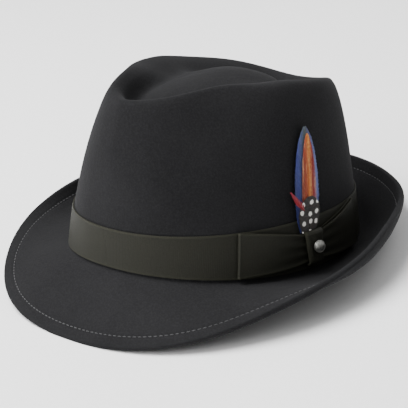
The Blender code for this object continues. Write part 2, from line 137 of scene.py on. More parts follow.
# Ribbon
RIBBON = 0.9
GAP = 0.3
BAND_SEAT = 2.2  # lower edge of the band above the head line
BAND_TOP = 29.7  # height of the band's level upper edge
SELVEDGE = 1.9  # width of the woven edge
SELVEDGE_PROUD = 0.12
BODY_LOW = 0.15  # the ribbon between its selvedges is this much thinner
BOW_SEAT = 3.2
BOW_HEIGHT = 15.4  # of the knot's middle above the head line
BOW_MIDDLE = 84.0  # angle of the knot's middle
BOW_SPLIT = 0.7
LOOP_TURN = 35.2  # how far each loop reaches round the crown
LOOP_AIR = 1.0  # space between the two layers of a loop
LOOP_PUFF = 1.0
LOOP_NARROW = 7.5  # half the height to which the knot gathers a loop
PLEAT_DEPTH = 0.8
PLEATS = 3
KNOT_WIDTH = 16.5
KNOT_FOOT = 0.74  # width of its foot as a share of its width at the top
KNOT_HEIGHT = 18.7
KNOT_RIBBON = 1.2
KNOT_BULGE = 1.6
KNOT_BEND = 1.6  # radius over which the knot's ribbon turns in
KNOT_CRUMPLE = 0.35
KNOT_TURN_IN = 2.2  # how deep the knot's ribbon goes back over the top and under the foot

# Pin
PIN_RADIUS = 3.9
PIN_RIM = 1.0
PIN_DOME = 1.5
PIN_ANGLE = 83.6
PIN_HEIGHT = 16.2
PIN_TILT = 18.0

# Feathers
FEATHER = 0.7
FEATHER_GAP = 0.35
FEATHER_REST = 0.35  # clearance of the rearmost feather from the band
FEATHER_LENGTH = 62.7
FEATHER_WIDTH = 20.0
FEATHER_FOOT = 0.4  # the feathers start this far above the knot
FEATHER_ANGLE = 82.0
FEATHER_LEAN = 5.5  # how far the tip lies behind the foot
FEATHER_TURN = 2.4  # how much further the rear edge stands off the crown than the front edge
WEB = 0.25  # thickness of the closed web between the barbs
BARB_PITCH = 0.8
BARB_RADIUS = 0.3
WEB_SWEEP = 0.16  # how far a barb leans along a webbed vane, as a share of its length
WEB_FRAY = 0.02  # how uneven the barbs' tips are
WISP_SWEEP = 0.3
WISP_FRAY = 0.12
QUILL_RADIUS = 0.5

FeatherRow = namedtuple("FeatherRow", "name layer length width shift foot lean outline")
OutlineRow = namedtuple("OutlineRow", "along half")
BLADE = (
    OutlineRow(0.0, 0.6), OutlineRow(0.12, 0.86), OutlineRow(0.35, 1.0), OutlineRow(0.55, 0.96),
    OutlineRow(0.75, 0.78), OutlineRow(0.88, 0.54), OutlineRow(0.96, 0.28), OutlineRow(1.0, 0.08),
)
ROUND = (
    OutlineRow(0.0, 0.66), OutlineRow(0.2, 0.88), OutlineRow(0.5, 1.0), OutlineRow(0.75, 0.84),
    OutlineRow(0.92, 0.5), OutlineRow(1.0, 0.2),
)
WISP = (
    OutlineRow(0.0, 0.7), OutlineRow(0.3, 1.0), OutlineRow(0.6, 0.8), OutlineRow(0.85, 0.4),
    OutlineRow(1.0, 0.12),
)
# Length as a share of FEATHER_LENGTH, width, shift and foot as shares of FEATHER_WIDTH, and lean as
# the share of its own length by which the tip lies behind its foot
FEATHERS = (
    FeatherRow("feather_blue", 0, 1.0, 1.0, 0.0, 0.0, 0.0, BLADE),
    FeatherRow("feather_orange", 1, 0.93, 0.58, 0.03, 0.0, 0.0, BLADE),
    FeatherRow("feather_guinea", 2, 0.34, 0.92, 0.0, 0.0, 0.0, ROUND),
    FeatherRow("feather_red", 3, 0.19, 0.25, -0.3, 0.7, -0.8, WISP),
)

# Fineness of the shown surfaces
SECTORS = 256
STEPS_PER_RING = 7
# Rings of the turned-under edge: before its step, across the stitches' groove and out to the rim
WELT_APPROACH = (3.5, 2.0, WELT_STEP, 0.0)
DIP_SHARES = (0.45, 0.0, -0.45, -1.0, -1.7)
EDGE_INSETS = [4.2, 2.8, 1.4, 0.0]
BAND_COLUMNS = 360
BAND_ROWS = 22
STITCH_LINE_POINTS = 720
FOLD_STEPS = 6
EDGE_STEPS = 8
BRIM_SHARES = tuple(np.linspace(0.1, 0.72, 13))
BRIM_INTEGRATION = 48

# Camera, fitted to the photograph in the hat's own frame
CAMERA_TURN = 40.53
CAMERA_RISE = 17.13
CAMERA_ROLL = 0.18
CAMERA_DISTANCE = 1103.6
CAMERA_AIM = (-8.11, 20.24)
PIXELS_PER_MM = 1.53
PHOTO_PIXELS = 408
SENSOR = 36.0


def around(rows, column, theta):
    """Value of a table's column at angles round the hat, the same on both sides and smooth."""
    values = np.array([getattr(row, column) for row in rows], float)
    last = len(values) - 1
    weights = np.ones(last + 1)
    weights[[0, -1]] = 0.5
    order = np.arange(last + 1)
    terms = 2 / last * np.cos(np.outer(order, order) * math.pi / last) @ (weights * values)
    terms[[0, -1]] *= 0.5
    return np.cos(np.multiply.outer(theta, order)) @ terms


def oval(theta, front, side, squareness):
    """Radius of an oval that reaches front along Y and side along X."""
    across, along = np.abs(np.sin(theta)), np.abs(np.cos(theta))
    return ((across / side) ** squareness + (along / front) ** squareness) ** (-1 / squareness)


def polar(theta, radius, height, shift=0.0):
    """Points round the hat at a radius and height, with their middle shifted towards the back."""
    theta, radius, height, shift = np.broadcast_arrays(theta, radius, height, shift)
    return np.stack([radius * np.sin(theta), shift - radius * np.cos(theta), height], axis=-1)


def head_line(theta):
    return HEAD_DIP * np.cos(2 * theta)


def head_oval(theta):
    return oval(theta, HEAD_LENGTH / 2, HEAD_WIDTH / 2, HEAD_SQUARENESS)


def tip_oval(theta):
    reach = np.where(np.cos(theta) > 0, TIP_FRONT, TIP_BACK)
    return oval(theta, reach, TIP_WIDTH / 2, TIP_SQUARENESS)


def ridge_height(theta):
    return CROWN_HEIGHT * around(CROWN, "ridge", theta)


def pinch(theta):
    """How far the two front pinches push the ridge in."""
    off_front = np.abs((np.degrees(theta) + 180) % 360 - 180)
    return PINCH_DEPTH * np.exp(-(((off_front - PINCH_ANGLE) / PINCH_SPREAD) ** 2))


def wall_ring(theta, share):
    """Points of the crown's side, at a share of the way up from the head line to the ridge."""
    shoulder = np.clip((share - SHOULDER_FROM) / (1 - SHOULDER_FROM), 0, 1)
    radius = head_oval(theta) * (1 - share) + tip_oval(theta) * share
    radius = radius + WALL_BULGE * 4 * share * (1 - share)
    radius = radius - pinch(theta) * np.abs(share) ** PINCH_RISE
    radius = radius - RIDGE_ROUNDING * shoulder**2
    height = head_line(theta) * (1 - share) + ridge_height(theta) * share
    return polar(theta, radius, height, TIP_SHIFT * share)


def crease_rings(theta):
    """Rings from the ridge down the inside of the crease and over the dome, towards the middle."""
    ridge = tip_oval(theta) - pinch(theta) - RIDGE_ROUNDING
    height = ridge_height(theta)
    reach = CREASE_REACH * around(CROWN, "reach", theta)
    depth = CREASE_DEPTH * around(CROWN, "depth", theta)
    rings = [
        polar(theta, ridge - reach * row.reach, height - depth * row.depth, TIP_SHIFT)
        for row in CREASE_WALL
    ]
    foot = ridge - reach
    fall = DOME_HEIGHT - (height - depth)
    for share in DOME_SHARES:
        # The dome evens out towards its middle
        even = fall.mean() + (fall - fall.mean()) * share**2
        rings.append(polar(theta, foot * share, DOME_HEIGHT - even * share**2, TIP_SHIFT))
    rings.append(polar(theta, 0 * theta, 0 * theta + DOME_HEIGHT, TIP_SHIFT))
    return rings


def smooth_rings(rings, steps):
    """Rings on a Catmull-Rom curve through the given ones, with a few steps between each two."""
    ends = [2 * rings[0] - rings[1]], [2 * rings[-1] - rings[-2]]
    points = [*ends[0], *rings, *ends[1]]
    smooth = []
    for before, here, there, after in zip(points, points[1:], points[2:], points[3:]):
        for step in range(steps):
            t = step / steps
            smooth.append(
                here
                + 0.5 * (there - before) * t
                + 0.5 * (2 * before - 5 * here + 4 * there - after) * t**2
                + 0.5 * (3 * here - before - 3 * there + after) * t**3
            )
    return smooth + [rings[-1]]


def crown_rings(theta):
    """Rings from the head line up the crown, over the ridge and the crease to the dome's middle."""
    rings = [wall_ring(theta, share) for share in WALL_SHARES] + crease_rings(theta)
    soft = around(CROWN, "soft", theta)[:, None]
    for index in SOFT_RINGS:
        middle = (rings[index - 1] + rings[index + 1]) / 2
        rings[index] = rings[index] + soft * SOFTNESS * (middle - rings[index])
    return smooth_rings(rings, STEPS_PER_RING)


def brim_ring(theta, out):
    """Points of the brim's upper face, at distances out from the crown along the felt."""
    width = BRIM_WIDTH * around(BRIM, "width", theta)
    leaving = np.radians(around(BRIM, "leaving", theta))
    ending = np.radians(around(BRIM, "ending", theta))
    roll = around(BRIM, "roll", theta)
    middles = (np.arange(BRIM_INTEGRATION) + 0.5)[:, None] / BRIM_INTEGRATION
    slope = leaving + (ending - leaving) * (middles * out / width) ** roll
    run = np.mean(np.cos(slope), axis=0) * out
    rise = np.mean(np.sin(slope), axis=0) * out
    return polar(theta, head_oval(theta) + run, head_line(theta) + rise)


def fold_rings(theta):
    """Rings round the fold from the crown's side to the brim, without its two ends."""
    corner = wall_ring(theta, 0.0)
    start = wall_ring(theta, FOLD_RISE / (ridge_height(theta) - head_line(theta)))
    end = brim_ring(theta, FOLD_REACH)
    shares = np.arange(FOLD_STEPS + 1) / FOLD_STEPS
    return [(1 - t) ** 2 * start + 2 * t * (1 - t) * corner + t**2 * end for t in shares]


def felt_rings(theta):
    """The felt's outer face from the dome's middle to the brim's edge, the felt under each ring, and
    how far the stitches pull each ring in."""
    rings = crown_rings(theta)[:0:-1] + fold_rings(theta)
    thickness = [FELT] * len(rings)
    dip = [0.0] * len(rings)
    width = BRIM_WIDTH * around(BRIM, "width", theta)
    for share in BRIM_SHARES:
        rings.append(brim_ring(theta, width * share))
        thickness.append(FELT)
        dip.append(0.0)
    insets = [WELT_WIDTH + step for step in WELT_APPROACH]
    insets += [STITCH_INSET + STITCH_SPREAD * share for share in DIP_SHARES]
    insets += EDGE_INSETS
    for inset in insets:
        rings.append(brim_ring(theta, width - inset))
        thickness.append(FELT + WELT_FELT * (inset <= WELT_WIDTH))
        dip.append(STITCH_DIP * math.exp(-(((inset - STITCH_INSET) / STITCH_SPREAD) ** 2)))
    return np.array(rings), np.array(thickness), np.array(dip)


def unit(vectors):
    return vectors / np.linalg.norm(vectors, axis=-1, keepdims=True)


def ring_normals(rings):
    """Outward normals of rings that run from the middle of the dome to the edge of the brim."""
    along = np.roll(rings, -1, axis=1) - np.roll(rings, 1, axis=1)
    outward = np.gradient(rings, axis=0)
    normals = np.cross(outward, along)
    normals[0] = (0, 0, 1)
    return unit(normals)


def edge_rings(upper, lower, outward):
    """Rings round the rounded edge of the brim, between its upper and its lower face."""
    middle, half = (upper + lower) / 2, (upper - lower) / 2
    proud = outward * np.linalg.norm(half, axis=-1, keepdims=True) * EDGE_ROUNDING
    turns = np.linspace(math.pi / 2, -math.pi / 2, EDGE_STEPS + 1)[1:-1]
    return [middle + half * math.sin(turn) + proud * math.cos(turn) for turn in turns]


def felt_surface():
    """All rings of the felt, down its outer face, round the edge and back up its inner face."""
    theta = np.arange(SECTORS) * 2 * math.pi / SECTORS
    outer, thickness, dip = felt_rings(theta)
    normals = ring_normals(outer)
    inner = outer - normals * (thickness - dip)[:, None, None]
    outward = unit(outer[-1] - outer[-2])
    edge = edge_rings(outer[-1], inner[-1], outward)
    outer = outer - normals * dip[:, None, None]
    return np.concatenate([outer, edge, inner[::-1]])


def resting_place(points):
    """Pitch and lift with which the front edge and the rear fold press on the floor alike."""
    def heights(pitch):
        return points[..., 2] * math.cos(pitch) - points[..., 1] * math.sin(pitch)

    front = points[..., 1] < 0
    low, high = 0.0, math.radians(20)
    for _ in range(40):
        pitch = (low + high) / 2
        z = heights(pitch)
        if z[front].min() < z[~front].min():
            low = pitch
        else:
            high = pitch
    return pitch, -heights(pitch).min() - REST_PRESS


def on_wall(theta, height, standoff):
    """Points beside the crown, at a height above the head line and a distance off the felt."""
    def side(theta, height):
        return wall_ring(theta, height / (ridge_height(theta) - head_line(theta)))

    theta, height, standoff = (np.array(v) for v in np.broadcast_arrays(theta, height, standoff))
    step = 1e-3
    along = side(theta + step, height) - side(theta - step, height)
    up = side(theta, height + step) - side(theta, height - step)
    return side(theta, height) + unit(np.cross(along, up)) * standoff[..., None]


def band_rise(theta):
    """Height of the band's upper edge above the head line."""
    return BAND_TOP - head_line(theta)


def turn_of(distance, theta, height=0.0):
    """Angle that a distance round the crown takes at an angle and height."""
    foot = wall_ring(theta, height / (ridge_height(theta) - head_line(theta)))
    return distance / np.hypot(foot[..., 0], foot[..., 1])


SURFACE = felt_surface()
PITCH, LIFT = resting_place(SURFACE)
DEPTH = SURFACE[..., 1] * math.cos(PITCH) + SURFACE[..., 2] * math.sin(PITCH)
MIDDLE = (DEPTH.min() + DEPTH.max()) / 2
STANCE = Matrix.Translation((0, -MIDDLE, LIFT)) @ Matrix.Rotation(-PITCH, 4, "X")


def set_down(points):
    """Points of the hat's own frame in the frame in which it rests."""
    turn = np.array(STANCE)
    return np.asarray(points) @ turn[:3, :3].T + turn[:3, 3]


# Colours and nodes

def colour(code):
    """An sRGB hex colour as linear red, green, blue and alpha."""
    channels = [int(code[index:index + 2], 16) / 255 for index in (1, 3, 5)]
    linear = [c / 12.92 if c <= 0.04045 else ((c + 0.055) / 1.055) ** 2.4 for c in channels]
    return (*linear, 1.0)


def node(tree, kind, settings=None, stops=(), **inputs):
    """A node with its settings and colour stops. An input takes a value, a colour code, a socket, or
    a node for its first output, and is given by its name or, after an underscore, by its number."""
    new = tree.nodes.new(kind)
    for name, value in (settings or {}).items():
        setattr(new, name, value)
    for _ in stops[2:]:
        new.color_ramp.elements.new(1.0)
    for element, (position, code) in zip(new.color_ramp.elements if stops else (), stops):
        element.position = position
        element.color = colour(code)
    for name, value in inputs.items():
        socket = new.inputs[int(name[1:])] if name[0] == "_" else new.inputs[name.replace("_", " ")]
        if isinstance(value, bpy.types.Node):
            value = value.outputs[0]
        if isinstance(value, bpy.types.NodeSocket):
            tree.links.new(value, socket)
        else:
            socket.default_value = colour(value) if isinstance(value, str) else value
    return new


def new_material(name):
    """A new material and its empty tree."""
    new = bpy.data.materials.new(name)
    new.use_nodes = True
    new.node_tree.nodes.clear()
    return new, new.node_tree


def wool_felt():
    """Wool felt, carded, shrunk and brushed: matt and even, with short lighter hairs that catch the
    light along the ridges, and with a dye that takes slightly unevenly."""
    new, tree = new_material("wool_felt")
    place = node(tree, "ShaderNodeTexCoord").outputs["Object"]
    # Hairs are far finer than a pixel, so their nap is drawn 1.1 mm across and its tufts 4 mm
    nap = node(tree, "ShaderNodeTexNoise", Vector=place, Scale=1 / (1.1 * MM), Detail=4.0, Roughness=0.7)
    tufts = node(tree, "ShaderNodeTexNoise", Vector=place, Scale=1 / (4 * MM), Detail=3.0, Roughness=0.6)
    # The dye drifts over about 45 mm
    cloud = node(tree, "ShaderNodeTexNoise", Vector=place, Scale=1 / (45 * MM), Detail=3.0)
    dye = node(tree, "ShaderNodeValToRGB", stops=((0.3, "#161617"), (0.7, "#1b1b1c")), Fac=cloud)
    hairs = node(tree, "ShaderNodeMapRange", Value=nap, From_Min=0.42, From_Max=0.72, To_Max=0.16)
    base = node(tree, "ShaderNodeMix", {"data_type": "RGBA"}, _0=hairs, _6=dye, _7="#414143").outputs[2]
    height = node(tree, "ShaderNodeMath", {"operation": "MULTIPLY_ADD"}, _0=nap, _1=0.5, _2=tufts)
    bump = node(tree, "ShaderNodeBump", Strength=0.35, Distance=0.6 * MM, Height=height)
    shader = node(tree, "ShaderNodeBsdfPrincipled", Base_Color=base, Roughness=0.95,
                  Specular_IOR_Level=0.08, Sheen_Weight=0.04, Sheen_Roughness=0.45,
                  Sheen_Tint="#b8b8bc", Normal=bump)
    node(tree, "ShaderNodeOutputMaterial", Surface=shader)
    return new


def satin_ribbon():
    """Rayon grosgrain ribbon with a satin face: close ribs across its width and a firmer selvedge,
    so that it shines softly along the ribs and is a little greener than the felt. The selvedge is
    painted a shade lighter, a painted highlight along the ribbon's raised edges."""
    new, tree = new_material("satin_grosgrain_ribbon")
    place = node(tree, "ShaderNodeAttribute", {"attribute_name": "ribbon_place"}).outputs["Vector"]
    parts = node(tree, "ShaderNodeSeparateXYZ", Vector=place)
    # The place is in millimetres. Ribs 1.1 mm apart, coarser than the real ones so that they show
    phase = node(tree, "ShaderNodeMath", {"operation": "MULTIPLY"},
                 _0=parts.outputs["X"], _1=2 * math.pi / 1.1)
    ribs = node(tree, "ShaderNodeMath", {"operation": "SINE"}, _0=phase)
    grain = node(tree, "ShaderNodeTexNoise", Vector=place, Scale=1 / 1.1, Detail=3.0, Roughness=0.6)
    body = node(tree, "ShaderNodeValToRGB", stops=((0.3, "#1d1d18"), (0.7, "#24241e")), Fac=grain)
    # The selvedge is painted a shade lighter here: a painted highlight along the ribbon's raised edges
    edge = node(tree, "ShaderNodeMapRange", Value=parts.outputs["Z"], From_Min=0.6, From_Max=1.0)
    base = node(tree, "ShaderNodeMix", {"data_type": "RGBA"}, _0=edge, _6=body, _7="#272720").outputs[2]
    height = node(tree, "ShaderNodeMath", {"operation": "MULTIPLY_ADD"}, _0=ribs, _1=0.6, _2=grain)
    bump = node(tree, "ShaderNodeBump", Strength=0.3, Distance=0.16 * MM, Height=height)
    shader = node(tree, "ShaderNodeBsdfPrincipled", Base_Color=base, Roughness=0.6, Specular_IOR_Level=0.12,
                  Normal=bump)
    node(tree, "ShaderNodeOutputMaterial", Surface=shader)
    return new


def stitch_thread():
    """Spun polyester sewing thread, slightly fuzzy, a shade lighter than the felt it sinks into."""
    new, tree = new_material("spun_polyester_thread")
    place = node(tree, "ShaderNodeTexCoord").outputs["Object"]
    # The twist of the thread, 0.7 mm long
    twist = node(tree, "ShaderNodeTexNoise", Vector=place, Scale=1 / (0.7 * MM), Detail=2.0)
    base = node(tree, "ShaderNodeValToRGB", stops=((0.3, "#2a2a2b"), (0.7, "#3b3b3d")), Fac=twist)
    shader = node(tree, "ShaderNodeBsdfPrincipled", Base_Color=base, Roughness=0.8, Sheen_Weight=0.2)
    node(tree, "ShaderNodeOutputMaterial", Surface=shader)
    return new


def pin_metal():
    """Die-struck nickel plate, brushed then tumbled: silver-grey, softly blurred reflections."""
    new, tree = new_material("brushed_nickel_plate")
    place = node(tree, "ShaderNodeTexCoord").outputs["Object"]
    # Tumbling leaves dents 1.6 mm across and a grain of 0.7 mm
    grain = node(tree, "ShaderNodeTexNoise", Vector=place, Scale=1 / (0.7 * MM), Detail=3.0, Roughness=0.6)
    wear = node(tree, "ShaderNodeTexNoise", Vector=place, Scale=1 / (1.6 * MM), Detail=2.0)
    base = node(tree, "ShaderNodeValToRGB", stops=((0.3, "#8c8c87"), (0.7, "#c2c2bd")), Fac=wear)
    rough = node(tree, "ShaderNodeMapRange", Value=grain,
                 From_Min=0.3, From_Max=0.7, To_Min=0.34, To_Max=0.5)
    bump = node(tree, "ShaderNodeBump", Strength=0.3, Distance=0.25 * MM, Height=wear)
    shader = node(tree, "ShaderNodeBsdfPrincipled", Base_Color=base, Metallic=1.0,
                  Roughness=rough, Normal=bump)
    node(tree, "ShaderNodeOutputMaterial", Surface=shader)
    return new


def feather_material(name, paint):
    """A feather's material. paint colours it from its place, in millimetres along and across it."""
    new, tree = new_material(name)
    place = node(tree, "ShaderNodeAttribute", {"attribute_name": "vane_place"}).outputs["Vector"]
    parts = node(tree, "ShaderNodeSeparateXYZ", Vector=place)
    # The dye and the barbs' own colour change over about 1.5 mm
    uneven = node(tree, "ShaderNodeTexNoise", {"noise_dimensions": "2D"},
                  Vector=place, Scale=1 / 1.5, Detail=3.0)
    base = paint(tree, place, parts.outputs["X"], parts.outputs["Y"], uneven)
    shader = node(tree, "ShaderNodeBsdfPrincipled", Base_Color=base, Roughness=0.55, Sheen_Weight=0.15,
                  Specular_IOR_Level=0.4)
    node(tree, "ShaderNodeOutputMaterial", Surface=shader)
    return new


def dyed_blue(tree, place, along, across, uneven):
    """Dyed goose: deep blue at the front edge, paler and greyer beside the quill and at the rear."""
    sweep = node(tree, "ShaderNodeMath", {"operation": "MULTIPLY_ADD"}, _0=uneven, _1=3.5, _2=across)
    share = node(tree, "ShaderNodeMapRange", Value=sweep, From_Min=-9.0, From_Max=12.0)
    return node(tree, "ShaderNodeValToRGB", stops=(
        (0.0, "#101a42"), (0.18, "#263071"), (0.36, "#3a4668"), (0.5, "#3b433e"), (0.66, "#434771"),
        (0.86, "#5a6493"), (1.0, "#37498a")), Fac=share).outputs[0]


def dyed_orange(tree, place, along, across, uneven):
    """Dyed goose: rust and orange, a pale yellow quill, and crimson streaks with white behind it."""
    sweep = node(tree, "ShaderNodeMath", {"operation": "MULTIPLY_ADD"}, _0=uneven, _1=2.3, _2=across)
    share = node(tree, "ShaderNodeMapRange", Value=sweep, From_Min=-4.6, From_Max=7.0)
    body = node(tree, "ShaderNodeValToRGB", stops=(
        (0.0, "#5e1a04"), (0.3, "#8c3208"), (0.48, "#a55814"), (0.56, "#c08a48"), (0.64, "#963a0e"),
        (0.82, "#7a1628"), (1.0, "#8f7480")), Fac=share)
    # Paler streaks 12 mm long and 1.3 mm wide
    spread = node(tree, "ShaderNodeMapping", Vector=place, Scale=(1 / 12, 1 / 1.3, 0.0))
    streak = node(tree, "ShaderNodeTexNoise", {"noise_dimensions": "2D"},
                  Vector=spread, Scale=1.0, Detail=2.0)
    light = node(tree, "ShaderNodeMapRange", Value=streak, From_Min=0.54, From_Max=0.76, To_Max=0.42)
    return node(tree, "ShaderNodeMix", {"data_type": "RGBA"}, _0=light, _6=body, _7="#d8b080").outputs[2]


def guinea_spots(tree, place, along, across, uneven):
    """Natural guinea fowl: nearly black with round white spots in staggered rows."""
    # Spots 3.2 mm across, 6 mm apart
    spread = node(tree, "ShaderNodeMapping", Vector=place,
                  Scale=(1 / 6, 1 / 6, 0.0), Location=(0.25, 0.1, 0.0))
    cells = node(tree, "ShaderNodeTexVoronoi", {"voronoi_dimensions": "2D"}, Vector=spread, Scale=1.0,
                 Randomness=0.3)
    ragged = node(tree, "ShaderNodeMath", {"operation": "MULTIPLY_ADD"}, _0=uneven, _1=0.1, _2=cells)
    dot = node(tree, "ShaderNodeMapRange", Value=ragged,
               From_Min=0.26, From_Max=0.32, To_Min=1.0, To_Max=0.0)
    ground = node(tree, "ShaderNodeValToRGB", stops=((0.4, "#0b0908"), (0.8, "#2a160c")), Fac=uneven)
    return node(tree, "ShaderNodeMix", {"data_type": "RGBA"}, _0=dot, _6=ground, _7="#e9e6e1").outputs[2]


def dyed_red(tree, place, along, across, uneven):
    """Dyed rooster hackle: crimson, darker at its foot."""
    hackle = FEATHER_LENGTH * FEATHERS[-1].length
    share = node(tree, "ShaderNodeMapRange", Value=along, From_Max=hackle, To_Max=0.7)
    sweep = node(tree, "ShaderNodeMath", {"operation": "MULTIPLY_ADD"}, _0=uneven, _1=0.3, _2=share)
    return node(tree, "ShaderNodeValToRGB", stops=(
        (0.0, "#4c0106"), (0.4, "#840216"), (1.0, "#7a0628")), Fac=sweep).outputs[0]


def stage_floor():
    """Matt white photographic background board, with a slight tooth."""
    new, tree = new_material("matt_background_board")
    place = node(tree, "ShaderNodeTexCoord").outputs["Object"]
    # The board's tooth, 3 mm across
    grain = node(tree, "ShaderNodeTexNoise", Vector=place, Scale=1 / (3 * MM), Detail=2.0)
    base = node(tree, "ShaderNodeValToRGB", stops=((0.3, "#f6f6f6"), (0.7, "#f9f9f9")), Fac=grain)
    shader = node(tree, "ShaderNodeBsdfPrincipled", Base_Color=base, Roughness=0.9)
    node(tree, "ShaderNodeOutputMaterial", Surface=shader)
    return new


# Pieces

def new_piece(name, vertices, faces, finish, place=None, place_name=None, sharp=60):
    """A closed piece from millimetre points of the resting frame, with its faces turned outwards."""
    mesh = bpy.data.meshes.new(name)
    mesh.from_pydata((np.asarray(vertices) * MM).tolist(), [], faces)
    if place is not None:
        layer = mesh.attributes.new(place_name, "FLOAT_VECTOR", "POINT")
        layer.data.foreach_set("vector", np.asarray(place, float).ravel())
    bm = bmesh.new()
    bm.from_mesh(mesh)
    bmesh.ops.recalc_face_normals(bm, faces=bm.faces)
    bm.to_mesh(mesh)
    bm.free()
    mesh.shade_smooth()
    mesh.set_sharp_from_angle(angle=math.radians(sharp))
    mesh.materials.append(finish)
    piece = bpy.data.objects.new(name, mesh)
    bpy.context.collection.objects.link(piece)
    return piece


def grid_faces(rows, columns, first=0, closed_rows=False, closed_columns=False):
    """Quads of a grid whose points start at an index."""
    row = np.arange(rows if closed_rows else rows - 1)[:, None]
    column = np.arange(columns if closed_columns else columns - 1)[None]
    after, beside = (row + 1) % rows * columns, (column + 1) % columns
    corners = (row * columns + column, row * columns + beside, after + beside, after + column)
    quads = np.stack(np.broadcast_arrays(*corners), axis=-1).reshape(-1, 4) + first
    return quads.tolist()


def make_felt(finish):
    """Crown and brim of felt, with the small unevenness of a blocked hat."""
    rings = SURFACE[1:-1]
    points = np.concatenate([rings.reshape(-1, 3), SURFACE[:1].mean(axis=1), SURFACE[-1:].mean(axis=1)])
    points = set_down(points)
    # Without a seed, noise_vector starts from the clock and the felt differs from run to run
    noise.seed_set(DRIFT_SEED)
    drift = np.array([noise.noise_vector(Vector(p / DRIFT_REACH)) for p in points]) * DRIFT
    points = points + drift
    points[:, 2] = np.clip(points[:, 2], 0, None)
    rows, columns = rings.shape[:2]
    faces = grid_faces(rows, columns, closed_columns=True)
    top, bottom = rows * columns, rows * columns + 1
    last = (rows - 1) * columns
    for column in range(columns):
        beside = (column + 1) % columns
        faces.append((top, beside, column))
        faces.append((bottom, last + column, last + beside))
    return new_piece("trilby_felt", points, faces, finish)


def make_stitches(finish):
    """Two rows of running stitches through the turned-under edge, one on each face."""
    theta = np.arange(STITCH_LINE_POINTS) * 2 * math.pi / STITCH_LINE_POINTS
    width = BRIM_WIDTH * around(BRIM, "width", theta)
    line = brim_ring(theta, width - STITCH_INSET)
    beside = brim_ring(theta, width - STITCH_INSET + STITCH_PROBE)
    normal = unit(np.cross(beside - line, np.roll(line, -1, axis=0) - np.roll(line, 1, axis=0)))
    sunk = STITCH_RADIUS * STITCH_SHOWN - STITCH_DIP
    upper = line + normal * sunk
    lower = line - normal * (FELT + WELT_FELT + sunk)
    tree = stitch_tree(finish)
    pieces = []
    for name, points in (("stitches_above", upper), ("stitches_below", lower)):
        points = set_down(points)
        points[:, 2] = np.clip(points[:, 2], 0.1, None)
        curve = bpy.data.meshes.new(name)
        count = len(points)
        curve.from_pydata((points * MM).tolist(), [(i, (i + 1) % count) for i in range(count)], [])
        holder = bpy.data.objects.new(name, curve)
        bpy.context.collection.objects.link(holder)
        modifier = holder.modifiers.new("stitching", "NODES")
        modifier.node_group = tree
        for item in tree.interface.items_tree:
            if item.name in STITCH_INPUTS:
                modifier[item.identifier] = STITCH_INPUTS[item.name] * MM
        depsgraph = bpy.context.evaluated_depsgraph_get()
        mesh = bpy.data.meshes.new_from_object(holder.evaluated_get(depsgraph))
        holder.modifiers.remove(modifier)
        holder.data = mesh
        mesh.name = name
        pieces.append(holder)
    return pieces


def stitch_tree(finish):
    """Geometry nodes that lay stitches of one length along a line at an even pitch."""
    tree = bpy.data.node_groups.new("running_stitches", "GeometryNodeTree")
    tree.interface.new_socket("Geometry", in_out="INPUT", socket_type="NodeSocketGeometry")
    for name, size in STITCH_INPUTS.items():
        socket = tree.interface.new_socket(name, in_out="INPUT", socket_type="NodeSocketFloat")
        socket.default_value = size * MM
    tree.interface.new_socket("Geometry", in_out="OUTPUT", socket_type="NodeSocketGeometry")
    given = node(tree, "NodeGroupInput").outputs
    line = node(tree, "GeometryNodeMeshToCurve", Mesh=given["Geometry"])
    even = node(tree, "GeometryNodeResampleCurve", {"mode": "LENGTH"}, Curve=line, Length=given["Pitch"])
    tangent = node(tree, "GeometryNodeInputTangent")
    slant = node(tree, "FunctionNodeAlignRotationToVector", {"axis": "Z"}, Vector=tangent)
    thread = node(tree, "GeometryNodeMeshUVSphere", Segments=8, Rings=6, Radius=0.5)
    across = node(tree, "ShaderNodeMath", {"operation": "MULTIPLY"}, _0=given["Radius"], _1=2.0)
    size = node(tree, "ShaderNodeCombineXYZ", X=across, Y=across, Z=given["Length"])
    laid = node(tree, "GeometryNodeInstanceOnPoints", Points=even, Instance=thread,
                Rotation=slant, Scale=size)
    real = node(tree, "GeometryNodeRealizeInstances", Geometry=laid)
    finished = node(tree, "GeometryNodeSetMaterial", Geometry=real, Material=finish)
    smooth = node(tree, "GeometryNodeSetShadeSmooth", Geometry=finished)
    node(tree, "NodeGroupOutput", Geometry=smooth)
    return tree


def ribbon_section(across):
    """How far a ribbon's face stands proud, and whether it is selvedge, at distances from its edge."""
    proud = SELVEDGE_PROUD * np.exp(-(((across - SELVEDGE / 2) / (SELVEDGE * 0.35)) ** 2))
    # This selvedge share also sets where the ribbon is painted lighter, a painted highlight along its edges
    edge = np.clip((SELVEDGE - across) / (SELVEDGE * 0.4), 0, 1)
    return proud, edge


def across_ribbon(count):
    """Shares of a ribbon's width, closer together at its edges."""
    t = np.linspace(0, 1, count)
    return t - np.sin(2 * math.pi * t) / (2 * math.pi) * 0.85


def make_band(finish):
    """Ribbon round the foot of the crown."""
    theta = np.arange(BAND_COLUMNS) * 2 * math.pi / BAND_COLUMNS
    shares = across_ribbon(BAND_ROWS)
    top = band_rise(theta)
    foot = wall_ring(theta, 0.0)
    run = np.cumsum(np.linalg.norm(np.roll(foot, -1, axis=0) - foot, axis=1))
    outer, inner, places = [], [], []
    for share in shares:
        height = BAND_SEAT + (top - BAND_SEAT) * share
        from_edge = (top - BAND_SEAT) * min(share, 1 - share)
        proud, edge = ribbon_section(from_edge)
        places.append(np.stack([run, height, edge], axis=-1))
        outer.append(on_wall(theta, height, GAP + RIBBON - BODY_LOW + proud))
        inner.append(on_wall(theta, height, GAP))
    rows = np.array(outer + inner[::-1])
    place = np.array(places + places[::-1]).reshape(-1, 3)
    faces = grid_faces(len(rows), BAND_COLUMNS, closed_rows=True, closed_columns=True)
    points = set_down(rows.reshape(-1, 3))
    band = new_piece("ribbon_band", points, faces, finish, place, "ribbon_place")
    return band


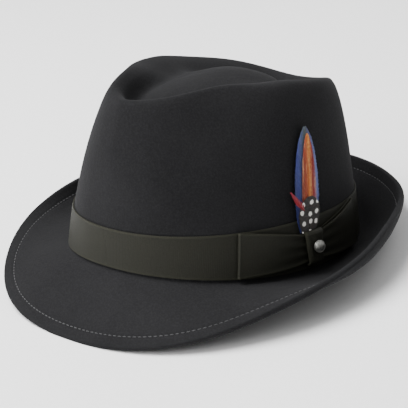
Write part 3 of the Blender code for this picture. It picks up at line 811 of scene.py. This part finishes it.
def slab_faces(rows, columns):
    """Faces of a closed sheet between two grids of points, one listed after the other."""
    count = rows * columns
    faces = grid_faces(rows, columns) + [face[::-1] for face in grid_faces(rows, columns, count)]
    rim = [(0, column) for column in range(columns)]
    rim += [(row, columns - 1) for row in range(1, rows)]
    rim += [(rows - 1, column) for column in range(columns - 2, -1, -1)]
    rim += [(row, 0) for row in range(rows - 2, 0, -1)]
    for here, there in zip(rim, rim[1:] + rim[:1]):
        a, b = here[0] * columns + here[1], there[0] * columns + there[1]
        faces.append((a, b, b + count, a + count))
    return faces


def slab_piece(name, front, back, place, finish, place_name):
    """A closed sheet between two grids of points, with the same place on both faces."""
    faces = slab_faces(*front.shape[:2])
    vertices = set_down(np.concatenate([front.reshape(-1, 3), back.reshape(-1, 3)]))
    both = np.concatenate([place.reshape(-1, 3)] * 2)
    return new_piece(name, vertices, faces, finish, both, place_name)


def loop_layers():
    """Distances off the crown of the middles of a loop's inner and outer layers."""
    inner = GAP + RIBBON + GAP + RIBBON / 2
    return inner, inner + RIBBON + LOOP_AIR


def loop_puff(share):
    """How far a loop's outer layer swells, at a share of the way from the knot to the fold."""
    return LOOP_PUFF * np.sin(math.pi * share) ** 2


def make_loop(name, direction, finish):
    """A ribbon loop: out from the knot against the band, folded over, and back on the outside."""
    inner, outer = loop_layers()
    start = math.radians(BOW_MIDDLE) + direction * turn_of(BOW_SPLIT, math.radians(BOW_MIDDLE))
    turn = math.radians(LOOP_TURN)
    bend = (outer - inner) / 2
    path = [(share * turn, inner, share, 0.0) for share in np.linspace(0, 1, 12)]
    fold = turn_of(1.0, start + direction * turn)
    for angle in np.radians(np.arange(15, 180, 15)):
        path.append((turn + bend * math.sin(angle) * fold, inner + bend * (1 - math.cos(angle)), 1, 0.5))
    for share in np.linspace(1, 0, 44):
        path.append((share * turn, outer + loop_puff(share), share, 1.0))
    path = np.array(path)
    flat = np.stack([path[:, 0] / fold, path[:, 1]], axis=-1)
    tangent = unit(np.gradient(flat, axis=0))
    aside = np.stack([-tangent[:, 1], tangent[:, 0]], axis=-1)
    levels = across_ribbon(26)
    run = np.concatenate([[0], np.cumsum(np.linalg.norm(np.diff(flat, axis=0), axis=1))])
    gathered = (1 - path[:, 2])[:, None]
    pleated = np.clip(gathered * 1.25 - 0.12, 0, 1) ** 2 * (path[:, 3] == 1)[:, None]
    pleat = PLEAT_DEPTH * pleated * (np.cos(2 * math.pi * PLEATS * levels + 0.6) - 1) / 2
    grids = []
    for side in (1, -1):
        place = flat + aside * RIBBON / 2 * side
        theta = (start + direction * place[:, 0] * fold)[:, None]
        low = BOW_SEAT + (BOW_HEIGHT - LOOP_NARROW - BOW_SEAT) * gathered
        high = band_rise(theta) + (BOW_HEIGHT + LOOP_NARROW - band_rise(theta)) * gathered
        height = low + (high - low) * levels
        from_edge = (high - low) * np.minimum(levels, 1 - levels)
        proud, edge = ribbon_section(from_edge)
        lift = (proud - BODY_LOW) * (path[:, 3] == 1)[:, None] * (side < 0)
        grids.append(on_wall(theta, height, place[:, 1][:, None] + pleat + lift))
    ribbon_place = np.stack(np.broadcast_arrays(run[:, None], height, edge), axis=-1)
    loop = slab_piece(name, grids[0], grids[1], ribbon_place, finish, "ribbon_place")
    flat = ((BAND_TOP - BOW_SEAT) * MM, run[-1] * MM)
    return loop


def knot_turn():
    """Half the angle that the knot takes round the crown."""
    return turn_of(KNOT_WIDTH / 2, math.radians(BOW_MIDDLE))


def knot_standoff(share):
    """Distance of the knot's inner face off the crown, from its front edge at -1 to its rear at 1."""
    under = loop_layers()[1] + RIBBON / 2 + loop_puff(knot_turn() / math.radians(LOOP_TURN))
    return under + GAP + KNOT_BULGE * (1 - share**2)


def make_knot(finish):
    """The short ribbon wrapped over the middle of the bow, narrower at its foot, its ends turned in."""
    shares = (2 * across_ribbon(25) - 1)[None, :]
    half = KNOT_HEIGHT / 2
    bend = KNOT_BEND
    path = [(-half, -KNOT_TURN_IN)]
    for angle in np.radians(np.arange(0, 91, 15)):
        path.append((-half + bend * (1 - math.cos(angle)), -bend * (1 - math.sin(angle))))
    path += [(level, 0.0) for level in np.linspace(-half + bend, half - bend, 22)[1:-1]]
    for angle in np.radians(np.arange(90, -1, -15)):
        path.append((half - bend * (1 - math.cos(angle)), -bend * (1 - math.sin(angle))))
    path.append((half, -KNOT_TURN_IN))
    path = np.array(path)
    tangent = unit(np.gradient(path, axis=0))
    aside = np.stack([-tangent[:, 1], tangent[:, 0]], axis=-1)
    level = (path[:, :1] + half) / (2 * half)
    place_across = shares * (KNOT_FOOT + (1 - KNOT_FOOT) * level)
    theta = math.radians(BOW_MIDDLE) + place_across * knot_turn()
    # Three soft creases that lean across the knot and fade at its top and foot
    crumple = KNOT_CRUMPLE * np.sin(9 * shares + 3.6 * level) * np.sin(math.pi * np.clip(level, 0, 1))
    grids = []
    for side in (0, 1):
        spot = path + aside * KNOT_RIBBON * side
        height = BOW_HEIGHT + spot[:, :1] + 0 * shares
        grids.append(on_wall(theta, height, knot_standoff(place_across) + spot[:, 1:] + crumple))
    from_edge = KNOT_WIDTH * (1 - np.abs(shares)) / 2
    proud, edge = ribbon_section(from_edge)
    place = np.stack(np.broadcast_arrays(path[:, :1], shares * KNOT_WIDTH / 2, edge), axis=-1)
    knot = slab_piece("ribbon_knot", grids[1], grids[0], place, finish, "ribbon_place")
    return knot


def make_pin(finish):
    """A low domed button with a rolled rim, turned about the line on which it stands off the knot."""
    rise = PIN_DOME
    sphere = (PIN_RADIUS**2 + rise**2) / (2 * rise)
    profile = [(0, 0), (PIN_RADIUS * 0.9, 0), (PIN_RADIUS, 0.25), (PIN_RADIUS, PIN_RIM * 0.8)]
    profile += [(PIN_RADIUS * 0.97, PIN_RIM + 0.12), (PIN_RADIUS * 0.9, PIN_RIM + 0.18)]
    profile += [(PIN_RADIUS * 0.84, PIN_RIM + 0.1)]
    for reach in np.linspace(0.8, 0, 10)[:-1] * PIN_RADIUS:
        profile.append((reach, PIN_RIM + math.sqrt(sphere**2 - reach**2) - sphere + rise))
    profile.append((0, PIN_RIM + rise))
    count = 64
    turn = np.arange(count) * 2 * math.pi / count
    rings = np.array([[(r * math.cos(a), r * math.sin(a), z) for a in turn] for r, z in profile[1:-1]])
    vertices = [*rings.reshape(-1, 3), (0, 0, profile[0][1]), (0, 0, profile[-1][1])]
    faces = grid_faces(len(rings), count, closed_columns=True)
    last = (len(rings) - 1) * count
    for column in range(count):
        beside = (column + 1) % count
        faces.append((len(rings) * count, beside, column))
        faces.append((len(rings) * count + 1, last + column, last + beside))
    theta = math.radians(PIN_ANGLE)
    share = (theta - math.radians(BOW_MIDDLE)) / knot_turn()
    lift = PIN_RADIUS * math.sin(math.radians(PIN_TILT))
    knot_top = knot_standoff(max(0.0, abs(share) - PIN_RADIUS / (KNOT_WIDTH / 2))) + KNOT_RIBBON
    standoff = knot_top + GAP + lift
    foot, tip = on_wall(theta, PIN_HEIGHT, np.array([standoff, standoff + 1]))
    outward = tip - foot
    heading = math.atan2(outward[1], outward[0]) - math.radians(PIN_TILT)
    slope = math.acos(outward[2])
    place = Matrix.Rotation(heading, 3, "Z") @ Matrix.Rotation(slope, 3, "Y")
    turned = np.array(vertices) @ np.array(place).T + foot
    return new_piece("hat_pin", set_down(turned), faces, finish, sharp=40)


def feather_spot(row, along, across, lift):
    """Points of a feather: along its length, across it as a share of its half width, and off its back."""
    length = FEATHER_LENGTH * row.length
    half = FEATHER_WIDTH * row.width / 2
    root = math.radians(FEATHER_ANGLE)
    rise = FEATHER_FOOT + FEATHER_WIDTH * row.foot + length * along
    middle = FEATHER_WIDTH * row.shift + FEATHER_LEAN * rise / FEATHER_LENGTH + row.lean * length * along
    side = middle + half * across
    height = BOW_HEIGHT + KNOT_HEIGHT / 2 + rise
    theta = root + turn_of(side, root, height)
    turned = FEATHER_TURN * np.clip(0.5 + side / FEATHER_WIDTH, 0, 1) * np.clip(rise / FEATHER_WIDTH, 0, 1)
    standoff = GAP + RIBBON + FEATHER_REST + row.layer * (FEATHER + FEATHER_GAP) + turned + lift
    return on_wall(theta, height, standoff)


def outline_half(row, along):
    """Half width of a feather's outline, as a share of the widest."""
    return np.interp(along, [point.along for point in row.outline], [point.half for point in row.outline])


def tube(centres, radii, corners=4):
    """Points and faces of a closed tube round a path, with one radius for each centre."""
    centres = np.asarray(centres, float)
    heading = unit(np.gradient(centres, axis=0))
    side = unit(np.cross(heading, (0.3, 0.5, 0.8)))
    up = np.cross(side, heading)
    turn = np.arange(corners) * 2 * math.pi / corners
    rings = centres[:, None] + radii[:, None, None] * (
        side[:, None] * np.cos(turn)[None, :, None] + up[:, None] * np.sin(turn)[None, :, None])
    faces = grid_faces(len(centres), corners, closed_columns=True)
    faces.append(list(range(corners))[::-1])
    faces.append([(len(centres) - 1) * corners + corner for corner in range(corners)])
    return rings.reshape(-1, 3), faces


def make_feather(row, finish, webbed):
    """A feather: a thin closed web of its outline, barbs swept towards the tip, and a quill."""
    rng = np.random.default_rng(7 + row.layer)
    points, places, faces = [], [], []

    def add(new_points, new_places, new_faces):
        first = sum(len(block) for block in points)
        points.append(new_points)
        places.append(new_places)
        faces.extend([[index + first for index in face] for face in new_faces])

    length = FEATHER_LENGTH * row.length
    half = FEATHER_WIDTH * row.width / 2
    middle_lift = FEATHER * 0.35
    if webbed:
        along = np.linspace(0, 1, 40)[:, None]
        across = np.linspace(-1, 1, 13)[None] * outline_half(row, along) * 0.95
        grid = np.broadcast_to(along, across.shape)
        low = feather_spot(row, along, across, middle_lift - WEB / 2)
        high = feather_spot(row, along, across, middle_lift + WEB / 2)
        web_place = np.stack([grid * length, across * half, 0 * across], axis=-1).reshape(-1, 3)
        web = np.concatenate([high.reshape(-1, 3), low.reshape(-1, 3)])
        add(web, np.concatenate([web_place] * 2), slab_faces(*across.shape))
    sweep, frayed = (WEB_SWEEP, WEB_FRAY) if webbed else (WISP_SWEEP, WISP_FRAY)
    count = int(length / BARB_PITCH)
    reach = np.linspace(0.04, 1, 6)
    for side in (-1, 1):
        for number in range(count):
            start = (number + rng.uniform(0, 0.3)) / count * 0.99
            end = min(start + sweep * (1 - 0.45 * start) + rng.normal(0, 0.008), 1.0)
            tip = outline_half(row, end) * (1 + rng.normal(0, frayed))
            curved = reach**1.3
            barb_along = start + (end - start) * curved
            barb_across = side * np.minimum(reach * tip, outline_half(row, barb_along) * 1.02)
            lift = middle_lift + 0.12 * rng.normal(0, 1) * reach + 0.08
            centres = feather_spot(row, barb_along, barb_across, lift)
            radii = BARB_RADIUS * np.array([1, 1, 0.95, 0.9, 0.75, 0.35])
            barb, barb_faces = tube(centres, radii)
            place = np.stack([barb_along * length, barb_across * half, 0 * reach], axis=-1)
            add(barb, np.repeat(place, 4, axis=0), barb_faces)
    along = np.linspace(-0.01, 0.97, 30)
    quill, quill_faces = tube(
        feather_spot(row, along, 0 * along, middle_lift + 0.25), QUILL_RADIUS * (1 - 0.75 * along), 8)
    place = np.repeat(np.stack([along * length, 0 * along, 0 * along], axis=-1), 8, axis=0)
    add(quill, place, quill_faces)
    return new_piece(row.name + "_vane", set_down(np.concatenate(points)), faces, finish,
                     np.concatenate(places), "vane_place")


def make_stage(finish):
    """Floor under the hat."""
    half = 3.0
    corners = [(-half, -half, 0), (half, -half, 0), (half, half, 0), (-half, half, 0)]
    mesh = bpy.data.meshes.new("floor")
    mesh.from_pydata(corners, [], [(0, 1, 2, 3)])
    mesh.materials.append(finish)
    floor = bpy.data.objects.new("floor", mesh)
    bpy.context.collection.objects.link(floor)


def make_camera():
    """The photograph's camera, carried over from the hat's own frame."""
    turn, rise, roll = (math.radians(angle) for angle in (CAMERA_TURN, CAMERA_RISE, CAMERA_ROLL))
    back = Vector((math.sin(turn) * math.cos(rise), -math.cos(turn) * math.cos(rise), math.sin(rise)))
    level = Vector((math.cos(turn), math.sin(turn), 0))
    up = back.cross(level)
    right = level * math.cos(roll) + up * math.sin(roll)
    above = up * math.cos(roll) - level * math.sin(roll)
    aim = right * CAMERA_AIM[0] + above * CAMERA_AIM[1]
    place = Matrix((right, above, back)).transposed().to_4x4()
    place.translation = aim + back * CAMERA_DISTANCE
    world = STANCE @ place
    world.translation = world.translation * MM
    data = bpy.data.cameras.new("photo_camera")
    data.sensor_width = SENSOR
    data.lens = PIXELS_PER_MM * CAMERA_DISTANCE * SENSOR / PHOTO_PIXELS
    data.clip_end = 20
    camera = bpy.data.objects.new("photo_camera", data)
    camera.matrix_world = world
    bpy.context.collection.objects.link(camera)
    bpy.context.scene.camera = camera


def make_lights():
    """Soft studio light: a panel above, a weaker one before the hat and a weak one behind it."""
    LightRow = namedtuple("LightRow", "name place size power")
    rows = (
        LightRow("top_panel", (-0.5, -0.5, 1.5), 1.1, 72),
        LightRow("left_panel", (-0.3, -1.6, 0.9), 1.0, 16),
        LightRow("back_panel", (-0.3, 1.7, 1.1), 1.2, 9),
    )
    for row in rows:
        data = bpy.data.lights.new(row.name, "AREA")
        data.size = row.size
        data.energy = row.power
        lamp = bpy.data.objects.new(row.name, data)
        lamp.location = row.place
        lamp.rotation_euler = (Vector((0, 0, 0.05)) - Vector(row.place)).to_track_quat("-Z", "Y").to_euler()
        bpy.context.collection.objects.link(lamp)
    world = bpy.data.worlds.new("studio")
    world.use_nodes = True
    world.node_tree.nodes["Background"].inputs["Color"].default_value = colour("#f2f2f2")
    world.node_tree.nodes["Background"].inputs["Strength"].default_value = 0.55
    bpy.context.scene.world = world


def main():
    felt, ribbon, thread = wool_felt(), satin_ribbon(), stitch_thread()
    pieces = [(make_felt(felt), "felt", "felt_body")]
    pieces += [(piece, "felt", None) for piece in make_stitches(thread)]
    pieces.append((make_band(ribbon), "ribbon", "hat_band"))
    pieces.append((make_loop("ribbon_front_loop", -1, ribbon), "ribbon", "bow_front_loop"))
    pieces.append((make_loop("ribbon_rear_loop", 1, ribbon), "ribbon", "bow_rear_loop"))
    pieces.append((make_knot(ribbon), "ribbon", "bow_knot"))
    pieces.append((make_pin(pin_metal()), "pin_metal", "pin"))
    paints = {
        "feather_blue": ("dyed_goose_blue", dyed_blue),
        "feather_orange": ("dyed_goose_orange", dyed_orange),
        "feather_guinea": ("guinea_fowl", guinea_spots),
        "feather_red": ("dyed_hackle_red", dyed_red),
    }
    for row in FEATHERS:
        finish = feather_material(*paints[row.name])
        wispy = row.name == "feather_red"
        pieces.append((make_feather(row, finish, webbed=not wispy), row.name, row.name))
    for piece, slot, node_name in pieces:
        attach(piece, "root")
        if node_name:
            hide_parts(node_name)
    make_stage(stage_floor())
    make_camera()
    make_lights()


main()
